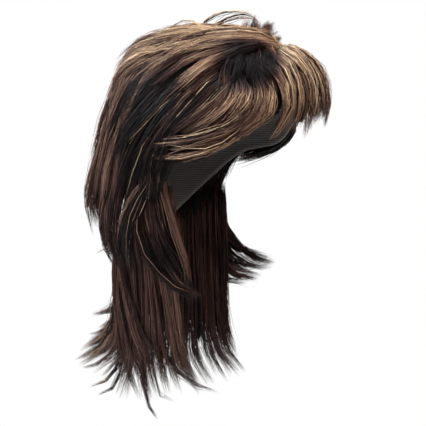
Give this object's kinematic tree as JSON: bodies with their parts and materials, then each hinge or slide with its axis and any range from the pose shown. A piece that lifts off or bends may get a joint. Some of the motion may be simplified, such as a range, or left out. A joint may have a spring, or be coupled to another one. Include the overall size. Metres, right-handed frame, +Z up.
{
  "type": "mullet wig",
  "caption": "Shag-cut mullet wig with a feathered fringe, swept temples, layered crown and a long flicked tail, stored as worn on a head.",
  "frame": {"origin": "mid-way between the two ear holes of the head that wears it", "axes": "+Z up with the head upright, -Y the way the face looks, -X to the head's right"},
  "size_m": [0.1946, 0.2792, 0.4166],
  "materials": {
    "cap_knit": "matt stretch net and weft strips",
    "hair_dark": "glossy synthetic fibre, dark brown",
    "hair_brown": "glossy synthetic fibre, reddish brown with light streaks",
    "hair_gold": "glossy synthetic fibre, brown with golden streaks"
  },
  "bodies": {
    "root": {"cap": "cap_knit", "crown": "hair_brown", "fringe": "hair_gold", "temple_right": "hair_gold", "temple_left": "hair_gold", "side_right": "hair_brown", "side_left": "hair_brown", "upper_back": "hair_brown", "over_ear_right": "hair_brown", "over_ear_left": "hair_brown", "mid_back": "hair_dark", "neck_curl_right": "hair_dark", "neck_curl_left": "hair_dark", "tail_back": "hair_dark", "tail_right": "hair_dark", "tail_left": "hair_dark"}
  },
  "joints": []
}
